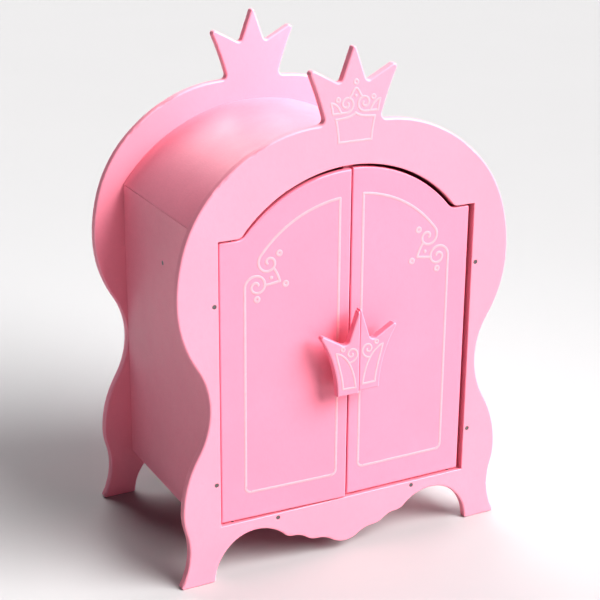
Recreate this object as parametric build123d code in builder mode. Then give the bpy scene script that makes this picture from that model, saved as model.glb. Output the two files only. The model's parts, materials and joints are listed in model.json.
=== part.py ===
"""Miniature dolls' wardrobe with a crown on its front and back boards.

The front frame and the back board share one outline: two feet, a scalloped apron, waisted
sides, a round shoulder and a three-pointed crown. Two side panels, a bottom panel and a
curved top panel stand between them. Two arched doors turn on vertical pins set in the
frame, and each carries one half of a crown-shaped handle on a spacer.

+Z is up and the doors face -Y. The origin is on the floor, in the middle of the bounding box.
"""

import os
from math import cos, radians, sin, sqrt

from build123d import *

# Boards
board = 10.0  # frame, back, sides and bottom
door_board = 7.0
top_board = 8.0
cabinet_depth = 247.5  # front face of the frame to rear face of the back board
arris = 2.2  # radius on the boards' sanded edges
door_arris = 1.8
opening_arris = 1.0
seam_arris = 0.7  # on the outer edges of the panels, where they meet in a fine groove

# Outline shared by the front frame and the back board, right half, x from the centre line
apron_tip = (0, 10.5)
foot_heel = (162, 0)
apron_joints = [  # ends of the arcs that run, each tangent to the last, to the foot
    (17, 16.1), (36, 22.4), (50, 27.4), (66, 33.1), (77.5, 37.9), (110, 52.6), (140, 43.5),
    foot_heel,
]
foot_toe = (203.9, 0)
foot_radius = 2.5
toe_lean = 29.5  # degrees by which the side leans inwards above the toe
crown_root = (31.9, 499.0)
side_joints = [  # ends of the tangent arcs from the toe, round the side, to the crown
    (192.0, 45), (195.3, 67.5), (198.5, 90), (180.3, 155), (166.0, 206), (180.0, 256),
    (201.3, 328), (191.7, 390), (160.0, 443.3), (94.0, 488.1), crown_root,
]

# Crown above the shoulder, right half
neck_radius = 6.0
crown_side_middle = (41.5, 529.5)
crown_side_tip = (54.5, 561.0)
crown_valley = (15.2, 540.0)
crown_middle_tip = (0, 582.0)
side_tip_radius = 3.5
valley_radius = 4.5
middle_tip_radius = 2.2

# Door opening
opening_half_width = 154.5
opening_bottom = 66.5
opening_shoulder = 391.7
arch_centre = 289.0
arch_radius = 165.0
arch_corner_radius = 8.0
door_corner_radius = 2.0

# Cabinet behind the frame
seam = 391.7  # height where the curved top meets the side panels
top_apex = 475.1
side_outer = 164.5
bottom_underside = opening_bottom - board

# Doors, with the gaps around them
door_recess = 2.7  # frame face to door face
gap_bottom = 2.2
gap_shoulder = 2.4
gap_arch = 3.8
gap_outer = {"left": 2.2, "right": 5.0}
half_split = 2.0
hinge_x = 138.6
hinge_depth = 6.2  # frame face to pin axis, the middle of the door board
pin_radius = 1.5
pin_running_clearance = 0.06
pin_in_frame = 7.0
pin_in_door = 9.0
pin_floor = 0.5  # bore left free beyond the end of each pin
ajar = {"left": 2.3, "right": 0.0}  # degrees that each door stands open at rest

# Handles, half a crown on each door
handle_board = 8.5
handle_stand_off = 15.8
handle_foot = 205.5
handle_half_split = 0.8
handle_half_width = 26.4
handle_side_middle = (33.0, 40.0)
handle_side_tip = (52.0, 77.2)
handle_valley = (15.2, 55.6)
handle_top = 99.8
handle_side_radius = 2.5
handle_valley_radius = 6.0
handle_top_radius = 1.0
handle_arris = 1.8
spacer_radius = 7.0
spacer_x = 15.0
spacer_z = 236.0

# Fastenings
screw_shank = 1.5
screw_head = 2.5
screw_head_height = screw_head - screw_shank
countersink_angle = 90
screw_sunk = 0.2
slot_length = 3.0
slot_width = 0.7
slot_depth = 0.6
hole_clearance = 0.05
panel_screw_length = 30.0
rail_screw_length = 22.0
handle_screw_length = 27.0
side_screw_heights = (118.3, 322.7)
bottom_screw_x = 85.8

# Hanging rail and door stop
rail_radius = 5.0
rail_depth = 125.0  # frame face to rail axis
rail_height = 332.5
stop_width = 12.0
stop_depth = 12.0
stop_bottom = 446.0
stop_top = 464.0

# Depths along Y, with the origin halfway between the handle front and the back board
lever = hinge_x - handle_half_split
handle_front = handle_board + handle_stand_off - door_recess + hinge_depth
swing = radians(ajar["left"])
front_reach = handle_front * cos(swing) + lever * sin(swing) - hinge_depth
front_face = (front_reach - cabinet_depth) / 2
rear_face = front_face + cabinet_depth
hinge_y = front_face + hinge_depth
rail_y = front_face + rail_depth
panel_depth = cabinet_depth - 2 * board
side_inner = side_outer - board
seam_screw_x = side_outer - board / 2

sides = {"left": -1, "right": 1}
front_plane = Plane.XZ.offset(-front_face)
frame_back_plane = Plane.XZ.offset(-front_face - board)
rear_plane = Plane(origin=(0, rear_face, 0), x_dir=(-1, 0, 0), z_dir=(0, 1, 0))
back_board_front_plane = Plane.XZ.offset(-rear_face + board)


def tangent_arcs(start, direction, joints):
    """A chain of arcs through the joints, each tangent to the one before it."""
    for joint in joints:
        arc = TangentArc(start, joint, tangent=direction)
        start, direction = joint, arc % 1


def half_outline():
    """Right half of the outline shared by the front frame and the back board."""
    tangent_arcs(apron_tip, (1, 0), apron_joints)
    Line(foot_heel, foot_toe)
    tangent_arcs(foot_toe, (-sin(radians(toe_lean)), cos(radians(toe_lean))), side_joints)
    ThreePointArc(crown_root, crown_side_middle, crown_side_tip)
    Line(crown_side_tip, crown_valley)
    Line(crown_valley, crown_middle_tip)


def round_corners(sketch, corners):
    """Round a sketch's vertices, given (height, radius) for each level at which they lie."""
    for height, radius in corners:
        level = sketch.vertices().filter_by_position(Axis.Y, height - 0.1, height + 0.1)
        fillet(level, radius)


outline_corners = (
    (0, foot_radius),
    (crown_root[1], neck_radius),
    (crown_side_tip[1], side_tip_radius),
    (crown_valley[1], valley_radius),
    (crown_middle_tip[1], middle_tip_radius),
)


def arch_corner(radius, shoulder):
    """Distance from the centre line at which an arch meets its shoulder."""
    return sqrt(radius**2 - (shoulder - arch_centre) ** 2)


def arched_half(place, inner, outer, bottom, shoulder, radius):
    """Half of an arched opening or one door; place(u, z) turns (distance, height) into a point."""
    corner = arch_corner(radius, shoulder)
    middle = (corner + inner) / 2
    top = arch_centre + sqrt(radius**2 - inner**2)
    crest = arch_centre + sqrt(radius**2 - middle**2)
    Polyline(
        place(inner, top), place(inner, bottom), place(outer, bottom),
        place(outer, shoulder), place(corner, shoulder),
    )
    ThreePointArc(place(corner, shoulder), place(middle, crest), place(inner, top))


def door_plane(side):
    """Plane through a door's pin axis, along the closed or ajar door, facing outwards."""
    turn = radians(sides[side] * ajar[side])
    return Plane(
        origin=(sides[side] * hinge_x, hinge_y, 0),
        x_dir=(cos(turn), sin(turn), 0),
        z_dir=(sin(turn), -cos(turn), 0),
    )


def on_door(side):
    """Map a distance from the centre line and a height to a point of the door's plane."""
    return lambda u, z: (sides[side] * (u - hinge_x), z)


def on_handle(side):
    """Map a distance from the centre line and a height above the handle's foot likewise."""
    point = on_door(side)
    return lambda u, z: point(u, handle_foot + z)


def countersunk_screws(plane, points, length):
    """Screws with slotted countersunk heads, driven into the plane at each point."""
    with BuildPart(plane.offset(-screw_sunk)) as screws:
        with Locations(*points):
            Cylinder(screw_shank, length, align=(Align.CENTER, Align.CENTER, Align.MAX))
            Cone(
                screw_shank, screw_head, screw_head_height,
                align=(Align.CENTER, Align.CENTER, Align.MAX),
            )
            Box(
                slot_length, slot_width, slot_depth,
                align=(Align.CENTER, Align.CENTER, Align.MAX), mode=Mode.SUBTRACT,
            )
    return screws.part


def screw_holes(plane, points, depth):
    """Countersunk holes that fit those screws, cut into the part being built."""
    with Locations(plane):
        with Locations(*points):
            CounterSinkHole(
                screw_shank + hole_clearance, screw_head + hole_clearance + screw_sunk,
                depth, countersink_angle,
            )


def pilot_holes(plane, points, length, passed):
    """Blind holes for the screws' shanks in a board that lies behind another of a given depth."""
    with Locations(plane):
        with Locations(*points):
            Hole(screw_shank + hole_clearance, length - passed + screw_sunk + pin_floor)


def save(part, name):
    part.label = name
    export_step(part, f"parts/{name}.step")


os.makedirs("parts", exist_ok=True)

side_screw_points = {
    side: [(sign * seam_screw_x, height) for height in side_screw_heights]
    for side, sign in sides.items()
}
bottom_screw_z = opening_bottom - board / 2
bottom_screw_points = [(-bottom_screw_x, bottom_screw_z), (bottom_screw_x, bottom_screw_z)]
board_screw_points = [*side_screw_points["left"], *side_screw_points["right"], *bottom_screw_points]


# Front frame: the shared outline with the arched door opening through it
with BuildPart() as front_frame:
    with BuildSketch(front_plane) as frame_face:
        with BuildLine():
            half_outline()
            mirror(about=Plane.YZ)
        make_face()
        round_corners(frame_face, outline_corners)
        for sign in sides.values():
            with BuildLine():
                arched_half(
                    lambda u, z, sign=sign: (sign * u, z),
                    0, opening_half_width, opening_bottom, opening_shoulder, arch_radius,
                )
            make_face(mode=Mode.SUBTRACT)
        shoulder_line = frame_face.vertices().filter_by_position(
            Axis.Y, opening_shoulder - 0.1, opening_shoulder + 0.1
        )
        arch_corners = shoulder_line.sort_by(lambda corner: abs(corner.X))[:2]
        fillet(arch_corners, arch_corner_radius)
    extrude(amount=-board)
    outer_wires = [face.outer_wire() for face in front_frame.faces().filter_by(Axis.Y)]
    fillet([edge for wire in outer_wires for edge in wire.edges()], arris)
    opening_wires = [face.inner_wires()[0] for face in front_frame.faces().filter_by(Axis.Y)]
    fillet([edge for wire in opening_wires for edge in wire.edges()], opening_arris)
    screw_holes(front_plane, board_screw_points, board)
    pin_seats = [(sign * hinge_x, hinge_y) for sign in sides.values()]
    with Locations(Plane.XY.offset(opening_shoulder), Plane.XY.offset(opening_bottom)):
        with Locations(*pin_seats):
            Cylinder(pin_radius, 2 * pin_in_frame, mode=Mode.SUBTRACT)
save(front_frame.part, "front_frame")

# Back board: the same outline, with no opening
with BuildPart() as back_panel:
    with BuildSketch(back_board_front_plane) as back_face:
        with BuildLine():
            half_outline()
            mirror(about=Plane.YZ)
        make_face()
        round_corners(back_face, outline_corners)
    extrude(amount=-board)
    fillet(back_panel.faces().filter_by(Axis.Y).edges(), arris)
    screw_holes(rear_plane, board_screw_points, board)
save(back_panel.part, "back_panel")

# Side panels, upright between the two boards
for side, sign in sides.items():
    outer_plane = Plane(
        origin=(sign * side_outer, rail_y, rail_height), x_dir=(0, sign, 0), z_dir=(sign, 0, 0)
    )
    with BuildPart() as side_panel:
        with BuildSketch(frame_back_plane):
            with Locations((sign * seam_screw_x, (bottom_underside + seam) / 2)):
                Rectangle(board, seam - bottom_underside)
        extrude(amount=-panel_depth)
        outer_face = side_panel.faces().sort_by(Axis.X)[-1 if sign > 0 else 0]
        fillet(outer_face.edges(), seam_arris)
        pilot_holes(frame_back_plane, side_screw_points[side], panel_screw_length, board)
        mirrored = [(-x, z) for x, z in side_screw_points[side]]
        pilot_holes(rear_plane.offset(-board), mirrored, panel_screw_length, board)
        screw_holes(outer_plane, [(0, 0)], board)
    save(side_panel.part, f"side_panel_{side}")
    save(countersunk_screws(outer_plane, [(0, 0)], rail_screw_length), f"rail_screw_{side}")

# Bottom panel, between the side panels
with BuildPart() as bottom_panel:
    with BuildSketch(frame_back_plane):
        with Locations((0, bottom_screw_z)):
            Rectangle(2 * side_inner, board)
    extrude(amount=-panel_depth)
    pilot_holes(frame_back_plane, bottom_screw_points, panel_screw_length, board)
    pilot_holes(rear_plane.offset(-board), bottom_screw_points, panel_screw_length, board)
save(bottom_panel.part, "bottom_panel")

# Curved top panel, bent over the cabinet from one side panel to the other
with BuildPart() as curved_top_panel:
    with BuildSketch(frame_back_plane):
        with BuildLine():
            rise = top_apex - seam
            bend_radius = (side_outer**2 + rise**2) / (2 * rise)
            bend_centre = top_apex - bend_radius
            inside = sqrt((bend_radius - top_board) ** 2 - (seam - bend_centre) ** 2)
            outer_skin = ThreePointArc((-side_outer, seam), (0, top_apex), (side_outer, seam))
            inner_skin = ThreePointArc((-inside, seam), (0, top_apex - top_board), (inside, seam))
            Line(outer_skin @ 0, inner_skin @ 0)
            Line(outer_skin @ 1, inner_skin @ 1)
        make_face()
    extrude(amount=-panel_depth)
    outer_face = curved_top_panel.faces().filter_by(GeomType.CYLINDER).sort_by(SortBy.AREA)[-1]
    fillet(outer_face.edges(), seam_arris)
save(curved_top_panel.part, "curved_top_panel")

# Hanging rail between the side panels, bored at its ends for its screws
with BuildPart(Plane.YZ) as hanging_rail:
    with Locations((rail_y, rail_height)):
        Cylinder(rail_radius, 2 * side_inner)
        bored = rail_screw_length - board + pin_floor
        for sign in sides.values():
            with Locations((0, 0, sign * side_inner)):
                Cylinder(screw_shank + hole_clearance, 2 * bored, mode=Mode.SUBTRACT)
save(hanging_rail.part, "hanging_rail")

# Stop block, glued behind the top of the arch, where both doors come to rest
with BuildPart() as door_stop_block:
    with BuildSketch(frame_back_plane):
        with Locations((0, (stop_bottom + stop_top) / 2)):
            Rectangle(stop_width, stop_top - stop_bottom)
    extrude(amount=-stop_depth)
    chamfer(door_stop_block.edges().group_by(Axis.Z)[0], 1.0)
save(door_stop_block.part, "door_stop_block")

# Screws through the front frame and the back board into the panels' edges
for place, plane, flip in (("front", front_plane, 1), ("back", rear_plane, -1)):
    for side in sides:
        points = [(flip * x, z) for x, z in side_screw_points[side]]
        save(countersunk_screws(plane, points, panel_screw_length), f"{place}_screws_{side}")
    screws = countersunk_screws(plane, bottom_screw_points, panel_screw_length)
    save(screws, f"{place}_screws_bottom")

# Doors, handles and pins
for side, sign in sides.items():
    plane = door_plane(side)
    point = on_door(side)
    place = on_handle(side)
    outwards = Axis(plane.origin, plane.z_dir)
    door_front = plane.offset(hinge_depth - door_recess)
    door_rear = door_front.offset(-door_board)
    handle_rear = door_front.offset(handle_stand_off)
    door_shoulder = opening_shoulder - gap_shoulder
    door_bottom = opening_bottom + gap_bottom
    handle_screw = [point(spacer_x, spacer_z)]

    with BuildPart() as door:
        with BuildSketch(door_rear) as door_face:
            with BuildLine():
                arched_half(
                    point, half_split, opening_half_width - gap_outer[side],
                    door_bottom, door_shoulder, arch_radius - gap_arch,
                )
            make_face()
            for inwards, radius in ((0, arch_corner_radius + gap_arch), (-1, door_corner_radius)):
                shoulder_line = door_face.vertices().filter_by_position(
                    Axis.Y, door_shoulder - 0.1, door_shoulder + 0.1
                )
                fillet(shoulder_line.sort_by(lambda corner: sign * corner.X)[inwards], radius)
        extrude(amount=door_board)
        fillet(door.faces().sort_by(outwards)[-1].edges(), door_arris)
        with Locations((plane.origin.X, plane.origin.Y, door_bottom),
                       (plane.origin.X, plane.origin.Y, door_shoulder)):
            Cylinder(
                pin_radius + pin_running_clearance, 2 * (pin_in_door + pin_floor),
                mode=Mode.SUBTRACT,
            )
        rearward_plane = Plane(door_rear.origin, x_dir=-door_rear.x_dir, z_dir=-door_rear.z_dir)
        rear_screw = [(-x, z) for x, z in handle_screw]
        screw_holes(rearward_plane, rear_screw, door_board)
    save(door.part, f"door_{side}")

    with BuildPart() as handle:
        with BuildSketch(handle_rear) as handle_face:
            with BuildLine():
                foot_corner = place(handle_half_width, 0)
                side_tip = place(*handle_side_tip)
                Polyline(
                    side_tip, place(*handle_valley), place(handle_half_split, handle_top),
                    place(handle_half_split, 0), foot_corner,
                )
                ThreePointArc(foot_corner, place(*handle_side_middle), side_tip)
            make_face()
            handle_corners = (
                (handle_foot + handle_side_tip[1], handle_side_radius),
                (handle_foot + handle_valley[1], handle_valley_radius),
                (handle_foot + handle_top, handle_top_radius),
            )
            round_corners(handle_face, handle_corners)
        extrude(amount=handle_board)
        flat_faces = handle.faces().sort_by(outwards)
        fillet(flat_faces[-1].edges(), handle_arris)
        handle_bore = handle_screw_length - door_board - handle_stand_off + pin_floor
        with Locations(handle_rear):
            with Locations(*handle_screw):
                Cylinder(screw_shank + hole_clearance, 2 * handle_bore, mode=Mode.SUBTRACT)
    save(handle.part, f"handle_{side}")

    with BuildPart() as spacer:
        with BuildSketch(door_front):
            with Locations(*handle_screw):
                Circle(spacer_radius)
                Circle(screw_shank + hole_clearance, mode=Mode.SUBTRACT)
        extrude(amount=handle_stand_off)
    save(spacer.part, f"handle_spacer_{side}")
    save(countersunk_screws(rearward_plane, rear_screw, handle_screw_length), f"handle_screw_{side}")

    for end, low, high in (
        ("top", door_shoulder - pin_in_door, opening_shoulder + pin_in_frame),
        ("bottom", opening_bottom - pin_in_frame, door_bottom + pin_in_door),
    ):
        with BuildPart(Plane.XY.offset(low)) as pin:
            with Locations((sign * hinge_x, hinge_y)):
                Cylinder(
                    pin_radius, high - low, align=(Align.CENTER, Align.CENTER, Align.MIN)
                )
            chamfer(pin.edges(), 0.3)
        save(pin.part, f"hinge_pin_{side}_{end}")
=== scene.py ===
"""Looks of the miniature dolls' wardrobe: paint, painted lines, wood, steel, light and camera.

Everything is in metres in the CAD frame: +Z up, doors facing -Y. Lengths written with mm
are millimetres turned into metres.
"""

import json
from math import atan2, cos, degrees, hypot, pi, radians, sin, sqrt

import bpy
from mathutils import Matrix, Vector


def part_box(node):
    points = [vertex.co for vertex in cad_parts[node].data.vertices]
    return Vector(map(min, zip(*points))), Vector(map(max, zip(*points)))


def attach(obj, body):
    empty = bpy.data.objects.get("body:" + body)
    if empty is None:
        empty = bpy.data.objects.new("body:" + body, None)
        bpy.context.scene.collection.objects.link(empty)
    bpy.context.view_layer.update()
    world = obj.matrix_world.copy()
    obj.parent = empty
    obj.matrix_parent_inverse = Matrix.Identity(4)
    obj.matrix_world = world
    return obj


mm = 0.001

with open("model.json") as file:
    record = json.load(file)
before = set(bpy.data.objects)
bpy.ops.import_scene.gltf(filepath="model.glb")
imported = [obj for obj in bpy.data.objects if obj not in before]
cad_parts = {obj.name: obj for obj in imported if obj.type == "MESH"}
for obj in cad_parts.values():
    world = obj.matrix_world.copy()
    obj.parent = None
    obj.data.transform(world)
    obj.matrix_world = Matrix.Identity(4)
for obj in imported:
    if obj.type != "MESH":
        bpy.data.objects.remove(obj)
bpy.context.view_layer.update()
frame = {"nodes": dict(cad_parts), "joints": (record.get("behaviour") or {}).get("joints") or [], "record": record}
nodes = frame["nodes"]
joints = {joint["child"]: joint for joint in frame["joints"]}

# --------------------------------------------------------------------------------------
# Colours, linear
# --------------------------------------------------------------------------------------
FRAME_PINK = (0.93, 0.33, 0.425)
DOOR_PINK = (0.93, 0.295, 0.405)
LINE_WHITE = (0.93, 0.405, 0.465)
RAIL_WOOD = ((0.56, 0.34, 0.17), (0.74, 0.52, 0.31))
ZINC = (0.20, 0.20, 0.21)
ZINC_BLOOM = (0.27, 0.25, 0.23)
FLOOR = (0.54, 0.535, 0.535)
HORIZON = (0.79, 0.75, 0.84)
SKY = (0.03, 0.024, 0.03)
TOP_LIGHT_TINT = (0.8, 0.97, 1.0)

# --------------------------------------------------------------------------------------
# Stage, light and camera
# --------------------------------------------------------------------------------------
FLOOR_HALF_SIZE = 12.0
HORIZON_BAND = (0.08, 0.18)  # heights of the fade from HORIZON to SKY, on a unit sphere
DISPLAY_GAMMA = 0.85  # deepens the shadows a little

# Azimuths run from the front towards the right, in degrees; a spread is the sun's own width
KEY_LIGHT = {"azimuth": 41, "elevation": 36, "strength": 5.95, "spread": 46}
BACK_LIGHT = {"azimuth": 172, "elevation": 46, "strength": 1.9, "spread": 40}
TOP_LIGHT = {"place": (0.34, 0.0, 0.86), "target": (0.05, 0.12, 0.52), "width": 0.2,
             "power": 2.2, "colour": TOP_LIGHT_TINT}
OVERHEAD_LIGHT = {"place": (0.12, -0.75, 1.4), "target": (0, 0, 0.3), "width": 0.5,
                  "power": 2.4}

CAMERA_AZIMUTH = -27.62
CAMERA_ELEVATION = 20.67
CAMERA_ROLL = 0.45
CAMERA_X = -0.75396
CAMERA_AHEAD_OF_FRAME = 1.32494
CAMERA_HEIGHT = 0.87842
SENSOR_WIDTH = 36
FOCAL_RATIO = 2.52867  # focal length over the sensor's width

# --------------------------------------------------------------------------------------
# Paint
# --------------------------------------------------------------------------------------
# Finishes: noise scales, about the number of features in a metre
CLOUD_SCALE = 9
RIPPLE_SCALE = 38
SHEEN_SCALE = 60
MOTTLE_SCALE = 180
ORANGE_PEEL_SCALE = 420
PANEL_GRAIN_SCALE = 650
FIBRE_SCALE = 700
# Brightness of the satin paint's parts against its plain colour, and its roughness range
CLOUD_TINTS = (0.97, 1.025)
MOTTLE_TINT = 0.955
EDGE_TINT = 0.93
# Painted highlight: the arrises are painted paler, standing in for light catching the rounded edges
ARRIS_HIGHLIGHT_TINT = 1.3
GRAIN_TINT = 0.9
SATIN_ROUGHNESS = (0.35, 0.46)

# Places of the painted lines, in mm from the centre line and from the floor
ARCH_CENTRE_HEIGHT = 289.0
LINE_ARCH_RADIUS = 132.5
PANEL_INNER = 15.5
PANEL_OUTER = 124.0
PANEL_BOTTOM = 100.0
PANEL_CORNER = 6.0
DOOR_LINE_WIDTH = 3.1
CROWN_LINE_WIDTH = 2.6
HANDLE_LINE_WIDTH = 2.4
CROWN_LINES_CENTRE = 2.0
RING_RADIUS = 2.4
DOT_RADIUS = 2.1
STEP = 0.8
PAINT_RISE = 0.22
PAINT_ROOT = 0.15
CAP_STEPS = 4
CAP_SHARE = 0.98  # how far round the end of a stroke is rounded off
DOT_STEPS = 20
DOT_DOME = [(1.0, -PAINT_ROOT), (1.0, 0.0), (0.85, 0.14), (0.55, 0.22), (0.25, 0.25)]
# Across a stroke: (share of the half width, share of the rise, or depth in mm below the face)
PROFILE = [(-1, -PAINT_ROOT), (-1, 0.0), (-0.82, 0.6), (-0.45, 0.9), (0, 1.0),
           (0.45, 0.9), (0.82, 0.6), (1, 0.0), (1, -PAINT_ROOT)]

# Sockets of the colour Mix node, which share their names with its other kinds
MIX_FIRST, MIX_SECOND, MIX_RESULT = 6, 7, 2


# --------------------------------------------------------------------------------------
# Materials
# --------------------------------------------------------------------------------------
class Shader:
    """A node tree under construction, with a principled shader at its end."""

    def __init__(self, name):
        self.material = bpy.data.materials.new(name)
        self.material.use_nodes = True
        self.tree = self.material.node_tree
        self.surface = self.tree.nodes["Principled BSDF"]
        self.place = self.tree.nodes.new("ShaderNodeTexCoord")

    def node(self, kind, **settings):
        made = self.tree.nodes.new(kind)
        for key, value in settings.items():
            setattr(made, key, value)
        return made

    def link(self, source, target):
        self.tree.links.new(source, target)

    def value(self, source, target):
        """Feed a socket from another socket or from a plain number or colour."""
        if isinstance(source, bpy.types.NodeSocket):
            self.link(source, target)
        else:
            target.default_value = source

    def noise(self, scale, detail=3.0, rough=0.5, stretch=(1, 1, 1)):
        """Noise from 0 to 1 in the object's own space, features about 1/scale metres wide."""
        mapping = self.node("ShaderNodeMapping")
        mapping.inputs["Scale"].default_value = stretch
        noise = self.node("ShaderNodeTexNoise")
        noise.inputs["Scale"].default_value = scale
        noise.inputs["Detail"].default_value = detail
        noise.inputs["Roughness"].default_value = rough
        self.link(self.place.outputs["Object"], mapping.inputs["Vector"])
        self.link(mapping.outputs["Vector"], noise.inputs["Vector"])
        return noise.outputs["Fac"]

    def remap(self, source, low, high, to_low=0.0, to_high=1.0):
        node = self.node("ShaderNodeMapRange")
        node.inputs["From Min"].default_value = low
        node.inputs["From Max"].default_value = high
        node.inputs["To Min"].default_value = to_low
        node.inputs["To Max"].default_value = to_high
        self.link(source, node.inputs["Value"])
        return node.outputs["Result"]

    def mix(self, factor, first, second):
        node = self.node("ShaderNodeMix", data_type="RGBA")
        self.value(factor, node.inputs["Factor"])
        for source, index in ((first, MIX_FIRST), (second, MIX_SECOND)):
            plain = not isinstance(source, bpy.types.NodeSocket)
            self.value((*source, 1) if plain else source, node.inputs[index])
        return node.outputs[MIX_RESULT]

    def maths(self, operation, first, second=0.0):
        node = self.node("ShaderNodeMath", operation=operation)
        self.value(first, node.inputs[0])
        self.value(second, node.inputs[1])
        return node.outputs[0]

    def bump(self, height, distance, strength=1.0, normal=None):
        node = self.node("ShaderNodeBump")
        node.inputs["Distance"].default_value = distance
        node.inputs["Strength"].default_value = strength
        self.link(height, node.inputs["Height"])
        if normal is not None:
            self.link(normal, node.inputs["Normal"])
        return node.outputs["Normal"]

    def finish(self, colour, roughness, normal=None, **constants):
        self.value(colour, self.surface.inputs["Base Color"])
        self.value(roughness, self.surface.inputs["Roughness"])
        if normal is not None:
            self.link(normal, self.surface.inputs["Normal"])
        for key, value in constants.items():
            self.surface.inputs[key.replace("_", " ")].default_value = value
        return self.material


def tint(colour, amount):
    """The colour made darker (below 1) or lighter (above 1)."""
    return tuple(min(1.0, part * amount) for part in colour)


def board_facing(shader):
    """1 on a board's flat faces, 0 on its sawn edges, between on its arrises; they face along Y."""
    split = shader.node("ShaderNodeSeparateXYZ")
    shader.link(shader.place.outputs["Normal"], split.inputs[0])
    return shader.maths("ABSOLUTE", split.outputs["Y"])


def add_sawn_edges(shader, colour, film, normal, roughness):
    """Darker, drier, fibrous paint on the sawn edges, and a painted highlight along the arrises."""
    facing = board_facing(shader)
    edge = shader.remap(facing, 0.35, 0.8, 1.0, 0.0)
    rise = shader.remap(facing, 0.08, 0.45)
    fall = shader.remap(facing, 0.90, 0.995, 1.0, 0.0)
    arris_highlight = shader.maths("MULTIPLY", rise, fall)
    film = shader.mix(shader.maths("MULTIPLY", edge, 0.5), film, tint(colour, EDGE_TINT))
    # Painted highlight: paler colour on the rounded arrises, standing in for light catching them
    film = shader.mix(shader.maths("MULTIPLY", arris_highlight, 0.45), film, tint(colour, ARRIS_HIGHLIGHT_TINT))
    fibre = shader.noise(FIBRE_SCALE, detail=4, rough=0.7, stretch=(1, 0.35, 1))
    fibre = shader.maths("MULTIPLY", fibre, edge)
    normal = shader.bump(fibre, distance=0.00035, strength=0.5, normal=normal)
    roughness = shader.maths("ADD", roughness, shader.maths("MULTIPLY", edge, 0.08))
    return film, normal, roughness


def add_panel_grain(shader, colour, film, normal):
    """A fine grain along Y that shows through the paint of a panel."""
    grain = shader.noise(PANEL_GRAIN_SCALE, detail=4, rough=0.65, stretch=(1, 0.3, 1))
    film = shader.mix(shader.remap(grain, 0.4, 0.8, 0.0, 0.6), film, tint(colour, GRAIN_TINT))
    return film, shader.bump(grain, distance=0.0003, strength=0.35, normal=normal)


def satin_paint(name, colour, sawn_edges=True):
    """Sprayed satin paint on fibreboard: a cloudy, mottled film with orange peel and ripples."""
    shader = Shader(name)
    cloud = shader.remap(shader.noise(CLOUD_SCALE, detail=4, rough=0.55), 0.3, 0.7)
    film = shader.mix(cloud, tint(colour, CLOUD_TINTS[0]), tint(colour, CLOUD_TINTS[1]))
    mottle = shader.noise(MOTTLE_SCALE, detail=3, rough=0.6)
    film = shader.mix(shader.remap(mottle, 0.45, 0.75, 0.0, 0.5), film, tint(colour, MOTTLE_TINT))
    peel = shader.noise(ORANGE_PEEL_SCALE, detail=2, rough=0.55)
    normal = shader.bump(peel, distance=0.00022, strength=0.35)
    ripple = shader.noise(RIPPLE_SCALE, detail=2, rough=0.5)
    normal = shader.bump(ripple, distance=0.0012, strength=0.14, normal=normal)
    sheen = shader.noise(SHEEN_SCALE, detail=3, rough=0.6)
    roughness = shader.remap(sheen, 0.3, 0.7, *SATIN_ROUGHNESS)
    if sawn_edges:
        film, normal, roughness = add_sawn_edges(shader, colour, film, normal, roughness)
    else:
        film, normal = add_panel_grain(shader, colour, film, normal)
    return shader.finish(film, roughness, normal, Specular_IOR_Level=0.45)


def line_paint(name):
    """Pale line paint laid on over the satin paint, slightly uneven in cover."""
    shader = Shader(name)
    cover = shader.remap(shader.noise(260, 3, 0.6), 0.25, 0.75)
    colour = shader.mix(cover, tint(LINE_WHITE, 0.93), tint(LINE_WHITE, 1.04))
    normal = shader.bump(shader.noise(800, 2), 0.0001, 0.4)
    roughness = shader.remap(shader.noise(150), 0.3, 0.7, 0.38, 0.5)
    return shader.finish(colour, roughness, normal)


def turned_wood(name):
    """Bare beech dowel with grain along X and short dark flecks."""
    shader = Shader(name)
    grain = shader.noise(90, 6, 0.62, (0.06, 1, 1))
    colour = shader.mix(shader.remap(grain, 0.32, 0.68), *RAIL_WOOD)
    fleck = shader.remap(shader.noise(700, 2, 0.5, (0.12, 1, 1)), 0.62, 0.72)
    colour = shader.mix(shader.maths("MULTIPLY", fleck, 0.45), colour, tint(RAIL_WOOD[0], 0.6))
    normal = shader.bump(grain, 0.0004, 0.4)
    return shader.finish(colour, 0.55, normal)


def zinc_steel(name):
    """Zinc-plated steel with fine turning marks and a slight yellow bloom."""
    shader = Shader(name)
    bloom = shader.remap(shader.noise(300, 3, 0.6), 0.35, 0.7)
    colour = shader.mix(bloom, ZINC, ZINC_BLOOM)
    marks = shader.noise(2500, 2, 0.5, (1, 0.15, 1))
    roughness = shader.remap(marks, 0.3, 0.7, 0.24, 0.42)
    normal = shader.bump(marks, 0.00005, 0.5)
    return shader.finish(colour, roughness, normal, Metallic=1.0)


def floor_paper(name):
    """Pale matt studio paper."""
    shader = Shader(name)
    colour = shader.mix(shader.noise(3, 3), tint(FLOOR, 0.99), tint(FLOOR, 1.01))
    return shader.finish(colour, 0.9, shader.bump(shader.noise(500, 2), 0.0001, 0.2))


FINISHES = {
    "board_paint": satin_paint("frame_paint", FRAME_PINK),
    "door_paint": satin_paint("door_paint", DOOR_PINK),
    "rail_wood": turned_wood("rail_wood"),
    "steel": zinc_steel("zinc_steel"),
    "line_paint": line_paint("line_paint"),
}
PANEL_FINISH = satin_paint("panel_paint", FRAME_PINK, sawn_edges=False)
PANELS = ("side_panel_left", "side_panel_right", "curved_top_panel", "bottom_panel")


def finish_cad_nodes():
    """Give every CAD node the finish that its material slot names."""
    for subpart in frame["record"]["subparts"]:
        name = subpart["node"]
        finish = PANEL_FINISH if name in PANELS else FINISHES[subpart["material_slot"]]
        nodes[name].data.materials.clear()
        nodes[name].data.materials.append(finish)


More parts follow.
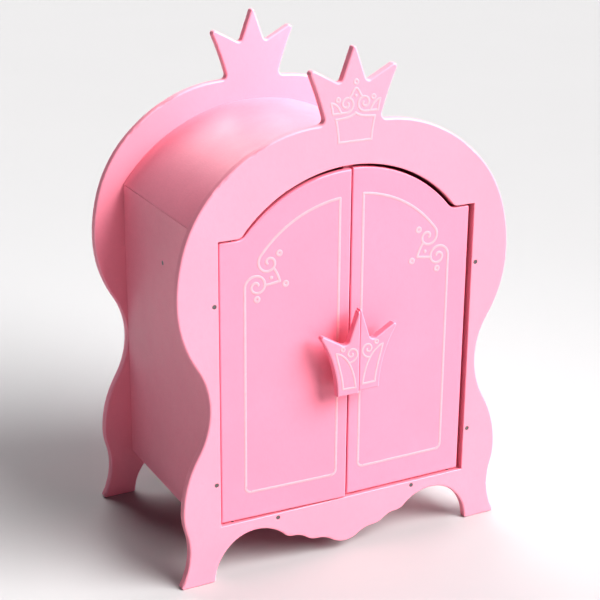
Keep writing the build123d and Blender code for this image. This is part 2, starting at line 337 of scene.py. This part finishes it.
# --------------------------------------------------------------------------------------
# Paths in a board's plane: lists of (distance from the centre line, height) in mm
# --------------------------------------------------------------------------------------
def straight(*corners):
    """A polyline with its points about STEP apart."""
    path = [corners[0]]
    for (x0, z0), (x1, z1) in zip(corners, corners[1:]):
        count = max(1, round(hypot(x1 - x0, z1 - z0) / STEP))
        path += [(x0 + (x1 - x0) * k / count, z0 + (z1 - z0) * k / count)
                 for k in range(1, count + 1)]
    return path


def turn(centre, radius, start, end, end_radius=None):
    """An arc, or a spiral when the radius changes, from one angle to another in degrees."""
    end_radius = radius if end_radius is None else end_radius
    length = radians(abs(end - start)) * (radius + end_radius) / 2
    count = max(8, round(length / STEP))
    path = []
    for k in range(count + 1):
        share = k / count
        angle = radians(start + (end - start) * share)
        reach = radius + (end_radius - radius) * share
        path.append((centre[0] + reach * cos(angle), centre[1] + reach * sin(angle)))
    return path


def bend(start, pull_start, pull_end, end):
    """A cubic curve between two points, pulled towards two others."""
    count = max(6, round(hypot(end[0] - start[0], end[1] - start[1]) / STEP))
    path = []
    for k in range(count + 1):
        t = k / count
        weights = ((1 - t) ** 3, 3 * t * (1 - t) ** 2, 3 * t * t * (1 - t), t**3)
        path.append(tuple(
            sum(w * p[axis] for w, p in zip(weights, (start, pull_start, pull_end, end)))
            for axis in (0, 1)
        ))
    return path


def ring(centre, radius=RING_RADIUS):
    """A closed circle."""
    return turn(centre, radius, 0, 360)


def mirrored(path):
    """The same path on the other side of the centre line."""
    return [(-x, z) for x, z in path]


# --------------------------------------------------------------------------------------
# Strokes of paint: closed low ridges with round ends
# --------------------------------------------------------------------------------------
def stations(path, width, closed):
    """(x, z, tangent, half width, rise) along a stroke, with round ends unless it is closed."""
    rows = []
    count = len(path)
    for k, (x, z) in enumerate(path):
        before = path[k - 1] if k or closed else path[0]
        after = path[(k + 1) % count] if k + 1 < count or closed else path[-1]
        along = Vector((after[0] - before[0], after[1] - before[1])).normalized()
        rows.append((x, z, along, width / 2, 1.0))
    if closed:
        return rows
    caps = []
    for end, sign in ((rows[0], -1), (rows[-1], 1)):
        x, z, along, half, _ = end
        cap = []
        for k in range(1, CAP_STEPS + 1):
            angle = k / CAP_STEPS * pi / 2 * CAP_SHARE
            reach = sign * half * sin(angle)
            cap.append((x + along.x * reach, z + along.y * reach, along,
                        half * cos(angle), sqrt(cos(angle))))
        caps.append(cap)
    return caps[0][::-1] + rows + caps[1]


def add_stroke(points, faces, path, width, place):
    """Append one stroke's ridge; place(x, z, height) puts a point in the row frame."""
    closed = hypot(path[0][0] - path[-1][0], path[0][1] - path[-1][1]) < 1e-6
    rows = stations(path[:-1] if closed else path, width, closed)
    first = len(points)
    size = len(PROFILE)
    for x, z, along, half, rise in rows:
        for across, height in PROFILE:
            lift = height * PAINT_RISE * rise if height > 0 else height
            points.append(place(x - along.y * across * half, z + along.x * across * half, lift))
    spans = len(rows) if closed else len(rows) - 1
    for k in range(spans):
        a = first + k * size
        b = first + (k + 1) % len(rows) * size
        for j in range(size):
            i = (j + 1) % size
            faces.append((a + j, a + i, b + i, b + j))
    if not closed:
        last = first + (len(rows) - 1) * size
        faces.append(tuple(range(first, first + size))[::-1])
        faces.append(tuple(range(last, last + size)))


def add_dot(points, faces, centre, radius, place):
    """Append a low dome, a dot of paint."""
    first = len(points)
    for share, height in DOT_DOME:
        for k in range(DOT_STEPS):
            angle = 2 * pi * k / DOT_STEPS
            points.append(place(centre[0] + radius * share * cos(angle),
                                centre[1] + radius * share * sin(angle), height))
    for level in range(len(DOT_DOME) - 1):
        for k in range(DOT_STEPS):
            a = first + level * DOT_STEPS + k
            b = first + level * DOT_STEPS + (k + 1) % DOT_STEPS
            faces.append((a, b, b + DOT_STEPS, a + DOT_STEPS))
    faces.append(tuple(first + k for k in range(DOT_STEPS))[::-1])
    top = first + (len(DOT_DOME) - 1) * DOT_STEPS
    faces.append(tuple(top + k for k in range(DOT_STEPS)))


def painted_lines(name, body, place, strokes, dots, width):
    """One mesh of paint strokes and dots that rides on a body."""
    points, faces = [], []
    for path in strokes:
        add_stroke(points, faces, path, width, place)
    for centre in dots:
        add_dot(points, faces, centre, DOT_RADIUS * width / DOOR_LINE_WIDTH, place)
    mesh = bpy.data.meshes.new(name)
    mesh.from_pydata(points, [], faces)
    mesh.update()
    mesh.polygons.foreach_set("use_smooth", [True] * len(mesh.polygons))
    lines = bpy.data.objects.new(name, mesh)
    bpy.context.scene.collection.objects.link(lines)
    mesh.materials.append(FINISHES["line_paint"])
    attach(lines, body)


def door_lines():
    """Strokes and dots on one door, distances measured from the cabinet's centre line."""
    arch = (0, ARCH_CENTRE_HEIGHT)
    upper, lower = (97.0, 361.0), (110.8, 336.8)  # centres of the two curls
    curl_radius = 12.4
    curl_end, lower_curl_end = 1.7, 2.4
    meet = 38.6  # where the arch's line runs into the upper curl, in degrees
    meet_x = upper[0] + curl_radius * cos(radians(meet))
    meet_z = upper[1] + curl_radius * sin(radians(meet))
    radius = hypot(meet_x, meet_z - ARCH_CENTRE_HEIGHT)
    arch_end = degrees(atan2(meet_z - ARCH_CENTRE_HEIGHT, meet_x))
    arch_start = 90 - degrees(atan2(PANEL_INNER, LINE_ARCH_RADIUS))
    arch_top = turn(arch, LINE_ARCH_RADIUS, arch_start, arch_end, radius)
    upper_curl = turn(upper, curl_radius, meet, meet - 425, curl_end)
    corner = PANEL_CORNER
    border = (
        straight(arch_top[0], (PANEL_INNER, PANEL_BOTTOM + corner))
        + turn((PANEL_INNER + corner, PANEL_BOTTOM + corner), corner, 180, 270)
        + straight((PANEL_INNER + corner, PANEL_BOTTOM), (PANEL_OUTER - corner, PANEL_BOTTOM))
        + turn((PANEL_OUTER - corner, PANEL_BOTTOM + corner), corner, 270, 360)
        + straight((PANEL_OUTER, PANEL_BOTTOM + corner), (PANEL_OUTER, lower[1]))
    )
    lower_curl = turn(lower, PANEL_OUTER - lower[0], 0, 510, lower_curl_end)
    heart = (84.4, 339.2)
    kite_side = bend((91.6, 354.6), (88.5, 350.5), (86.0, 345.5), heart)
    kite_foot = bend(heart, (88.0, 338.2), (96.0, 337.2), (101.8, 336.6))
    rings = [ring(centre) for centre in ((85.0, 370.0), (77.6, 335.4), (110.2, 322.2))]
    strokes = [border, arch_top, upper_curl, lower_curl, kite_side, kite_foot, *rings]
    return strokes, [(94.0, 344.2)]


def crown_lines():
    """Strokes and dots on the front crown, both halves, about the lines' own centre."""
    bowl_bottom, bowl_top = (19.3, 479.3), (23.0, 503.7)
    leaf_tip, leaf_foot = (28.8, 521.4), (26.4, 509.6)
    curl, curl_radius, curl_end = (10.6, 518.9), 9.0, 1.7
    half = [
        straight((0, bowl_bottom[1]), bowl_bottom),
        bend(bowl_bottom, (19.6, 487.0), (21.0, 496.0), bowl_top),
        bend(bowl_top, (12.0, 504.2), (4.5, 505.2), (0, 509.2)),
        bend(leaf_tip, (27.8, 517.0), (27.0, 513.5), leaf_foot),
        bend(leaf_tip, (23.5, 520.6), (19.6, 516.8), (17.2, 510.2)),
        bend(leaf_foot, (21.0, 509.9), (16.0, 509.9), (curl[0], curl[1] - curl_radius)),
        turn(curl, curl_radius, 270, -210, curl_end),
        bend((7.2, 526.0), (4.6, 527.6), (3.2, 534.6), (0, 534.8)),
        ring((20.8, 524.0), RING_RADIUS * 0.86),
    ]
    strokes = half + [mirrored(path) for path in half] + [ring((0, 541.4), RING_RADIUS * 0.9)]
    shift = CROWN_LINES_CENTRE
    return [[(x + shift, z) for x, z in path] for path in strokes], [(shift, 527.0)]


def handle_lines():
    """Strokes on one half of the handle."""
    curl, curl_radius, curl_end = (11.0, 253.3), 7.4, 1.3
    tip, foot_in, foot_out = (29.2, 256.2), (5.2, 213.4), (20.4, 213.9)
    strokes = [
        straight(foot_in, foot_out),
        bend(foot_out, (20.8, 226.0), (25.8, 241.0), tip),
        bend(foot_in, (6.6, 228.0), (12.8, 252.5), tip),
        bend((14.2, 243.6), (11.0, 243.4), (6.6, 245.0), (curl[0] - 6.2, curl[1] - 3.9)),
        turn(curl, curl_radius, 212, -190, curl_end),
        ring((21.4, 260.0), RING_RADIUS * 0.8),
    ]
    return strokes, []


def on_door(side, outwards):
    """Place a point on a plane of one door, at a depth in front of its hinge pin."""
    sign = -1 if side == "left" else 1
    joint = joints[f"{side}_door"]
    pivot = Vector(joint["pos_m"])
    standing = radians(joint["range_deg"][0]) * joint["axis"][2]
    open_turn = Matrix.Rotation(-standing, 3, "Z")

    def place(x, z, height):
        flat = Vector((sign * x * mm - pivot.x, -outwards - height * mm, 0))
        turned = open_turn @ flat
        return Vector((pivot.x + turned.x, pivot.y + turned.y, z * mm))

    return place


def on_frame():
    """Place a point on the front frame's face."""
    face_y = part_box("front_frame")[0].y

    def place(x, z, height):
        return Vector((x * mm, face_y - height * mm, z * mm))

    return place


def paint_lines():
    """The painted ornaments of both doors, both handle halves and the front crown."""
    pin_y = joints["right_door"]["pos_m"][1]
    for side in ("left", "right"):
        door_face = pin_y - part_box("door_right")[0].y
        handle_face = pin_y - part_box("handle_right")[0].y
        painted_lines(f"door_lines_{side}", f"{side}_door", on_door(side, door_face),
                      *door_lines(), DOOR_LINE_WIDTH)
        painted_lines(f"handle_lines_{side}", f"{side}_door", on_door(side, handle_face),
                      *handle_lines(), HANDLE_LINE_WIDTH)
    painted_lines("crown_lines", "cabinet", on_frame(), *crown_lines(), CROWN_LINE_WIDTH)


# --------------------------------------------------------------------------------------
# The stage, the lights and the camera, made
# --------------------------------------------------------------------------------------
def make_floor():
    """A wide sheet of pale paper on Z = 0."""
    size = FLOOR_HALF_SIZE
    mesh = bpy.data.meshes.new("studio_floor")
    corners = [(-size, -size, 0), (size, -size, 0), (size, size, 0), (-size, size, 0)]
    mesh.from_pydata(corners, [], [(0, 1, 2, 3)])
    mesh.materials.append(floor_paper("studio_paper"))
    floor = bpy.data.objects.new("studio_floor", mesh)
    bpy.context.scene.collection.objects.link(floor)


def add_light(name, data, place, source):
    """Put a light in the scene, shining from the direction of source."""
    light = bpy.data.objects.new(name, data)
    light.location = place
    light.rotation_euler = source.to_track_quat("Z", "Y").to_euler()
    bpy.context.scene.collection.objects.link(light)


def sun(name, azimuth, elevation, strength, spread):
    """An even light from one direction."""
    around, above = radians(azimuth), radians(elevation)
    source = Vector((sin(around) * cos(above), -cos(around) * cos(above), sin(above)))
    data = bpy.data.lights.new(name, "SUN")
    data.energy = strength
    data.angle = radians(spread)
    add_light(name, data, (0, 0, 0), source)


def soft_box(name, place, target, width, power, colour=(1, 1, 1)):
    """A square panel of light facing a target."""
    data = bpy.data.lights.new(name, "AREA")
    data.shape = "SQUARE"
    data.size = width
    data.energy = power
    data.color = colour
    add_light(name, data, place, Vector(place) - Vector(target))


def make_lights():
    """One soft key light from the front right, with weak light on the back and the top."""
    sun("key_light", **KEY_LIGHT)
    sun("back_light", **BACK_LIGHT)
    soft_box("top_light", **TOP_LIGHT)
    soft_box("overhead_light", **OVERHEAD_LIGHT)
    make_world()
    bpy.context.scene.view_settings.view_transform = "Standard"
    bpy.context.scene.view_settings.gamma = DISPLAY_GAMMA


def make_world():
    """A pale band along the horizon, dark above it."""
    world = bpy.data.worlds.new("studio")
    world.use_nodes = True
    tree = world.node_tree
    place = tree.nodes.new("ShaderNodeTexCoord")
    split = tree.nodes.new("ShaderNodeSeparateXYZ")
    fade = tree.nodes.new("ShaderNodeMapRange")
    blend = tree.nodes.new("ShaderNodeMix")
    blend.data_type = "RGBA"
    fade.inputs["From Min"].default_value = HORIZON_BAND[0]
    fade.inputs["From Max"].default_value = HORIZON_BAND[1]
    blend.inputs[MIX_FIRST].default_value = (*HORIZON, 1)
    blend.inputs[MIX_SECOND].default_value = (*SKY, 1)
    tree.links.new(place.outputs["Generated"], split.inputs[0])
    tree.links.new(split.outputs["Z"], fade.inputs["Value"])
    tree.links.new(fade.outputs["Result"], blend.inputs["Factor"])
    tree.links.new(blend.outputs[MIX_RESULT], tree.nodes["Background"].inputs["Color"])
    bpy.context.scene.world = world


def make_camera():
    """The camera of the reference view: above the wardrobe's crown, ahead and to its left."""
    azimuth, elevation = radians(CAMERA_AZIMUTH), radians(CAMERA_ELEVATION)
    roll = radians(CAMERA_ROLL)
    back = Vector((sin(azimuth) * cos(elevation), -cos(azimuth) * cos(elevation), sin(elevation)))
    right = Vector((0, 0, 1)).cross(back).normalized()
    up = back.cross(right)
    turned_right = right * cos(roll) + up * sin(roll)
    turned_up = up * cos(roll) - right * sin(roll)
    axes = Matrix((turned_right, turned_up, back)).transposed()
    place = (CAMERA_X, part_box("front_frame")[0].y - CAMERA_AHEAD_OF_FRAME, CAMERA_HEIGHT)
    data = bpy.data.cameras.new("camera")
    data.sensor_width = SENSOR_WIDTH
    data.lens = SENSOR_WIDTH * FOCAL_RATIO
    camera = bpy.data.objects.new("camera", data)
    camera.matrix_world = Matrix.Translation(place) @ axes.to_4x4()
    bpy.context.scene.collection.objects.link(camera)
    bpy.context.scene.camera = camera


finish_cad_nodes()
paint_lines()
make_floor()
make_lights()
make_camera()
